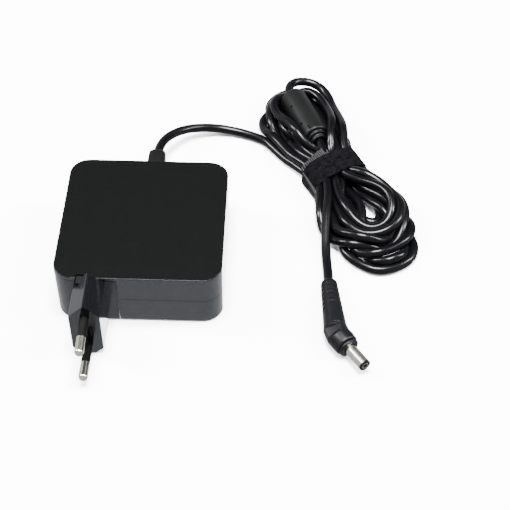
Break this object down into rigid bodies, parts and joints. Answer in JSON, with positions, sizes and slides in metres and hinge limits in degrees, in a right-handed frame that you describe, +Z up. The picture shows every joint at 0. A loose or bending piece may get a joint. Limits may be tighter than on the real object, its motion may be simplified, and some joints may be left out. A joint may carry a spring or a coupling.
{
  "type": "laptop power adapter",
  "caption": "Square plug-in laptop power adapter with a slide-off two-pin mains plug module and a tied low-voltage lead with ferrite bead and angled barrel plug.",
  "frame": {"origin": "centre of the base face of the square body, on the surface that it stands on", "axes": "+Z up out of the top face; -Y towards the mains pins; +Y out of the rear, where the lead leaves; +X towards the tied lead"},
  "size_m": [0.1654, 0.1996, 0.0318],
  "materials": {
    "top_shell": "satin top with polished sides",
    "base_shell": "polished",
    "plug_plastic": "semi-gloss",
    "latch_plastic": "satin",
    "nickel": "nickel plated",
    "brass": "bright",
    "spring_steel": "bright",
    "sleeve_plastic": "satin",
    "gland_rubber": "satin",
    "cord_jacket": "glossy jacket",
    "strap_textile": "hook and loop textile",
    "bead_plastic": "satin overmould",
    "ferrite": "sintered",
    "boot_rubber": "satin",
    "insulator": "satin",
    "board": "glass epoxy laminate",
    "sheet_plastic": "thin film",
    "contact_plastic": "moulded",
    "copper": "enamelled wire",
    "winding_tape": "polyester tape",
    "capacitor_sleeve": "shrink sleeve",
    "film_capacitor": "boxed",
    "fuse_body": "shrink covered",
    "ceramic_disc": "dipped",
    "chip_plastic": "moulded",
    "aluminium": "plain",
    "wire_red": "insulated",
    "wire_black": "insulated"
  },
  "bodies": {
    "adapter": {"upper_shell": "top_shell", "lower_shell": "base_shell", "cable_gland": "gland_rubber", "lead_cable": "cord_jacket", "bead_loop_cable": "cord_jacket", "bead_cable": "cord_jacket", "plug_cable": "cord_jacket", "cable_hank": "cord_jacket", "hook_loop_strap": "strap_textile", "bead_overmould": "bead_plastic", "ferrite_core": "ferrite", "plug_boot": "boot_rubber", "plug_elbow": "boot_rubber", "plug_collar": "insulator", "plug_barrel": "nickel", "plug_tip_ring": "insulator", "plug_insulator": "insulator", "plug_inner_contact": "nickel", "circuit_board": "board", "insulating_sheet": "sheet_plastic", "contact_carrier": "contact_plastic", "contact_fork_left": "brass", "contact_fork_right": "brass", "transformer_core": "ferrite", "transformer_windings": "winding_tape", "bulk_capacitor": "capacitor_sleeve", "choke_core": "ferrite", "choke_windings": "copper", "line_filter_capacitor": "film_capacitor", "mains_fuse": "fuse_body", "inrush_thermistor": "ceramic_disc", "bridge_rectifier": "chip_plastic", "primary_heat_sink": "aluminium", "switching_transistor": "chip_plastic", "secondary_heat_sink": "aluminium", "output_rectifier": "chip_plastic", "safety_capacitor": "ceramic_disc", "output_capacitor_front": "capacitor_sleeve", "output_capacitor_rear": "capacitor_sleeve", "optocoupler": "chip_plastic", "controller_chip": "chip_plastic", "output_wire_positive": "wire_red", "output_wire_negative": "wire_black"},
    "plug_module": {"plug_housing": "plug_plastic", "module_cover": "plug_plastic", "latch_spring": "spring_steel", "module_blade_left": "brass", "module_blade_right": "brass", "mains_pin_upper": "nickel", "mains_pin_lower": "nickel", "pin_sleeve_upper": "sleeve_plastic", "pin_sleeve_lower": "sleeve_plastic"},
    "latch": {"release_latch": "latch_plastic"}
  },
  "joints": [
    {"name": "plug_module_slide", "type": "slide", "parent": "adapter", "child": "plug_module", "axis": [0, -1, 0], "range_m": [0, 0.012]},
    {"name": "release_latch_press", "type": "slide", "parent": "plug_module", "child": "latch", "axis": [0, 0, -1], "range_m": [0, 0.0012], "stiffness_N_per_m": 1200, "springref_m": -0.0005, "deforming": ["latch_spring"]}
  ]
}
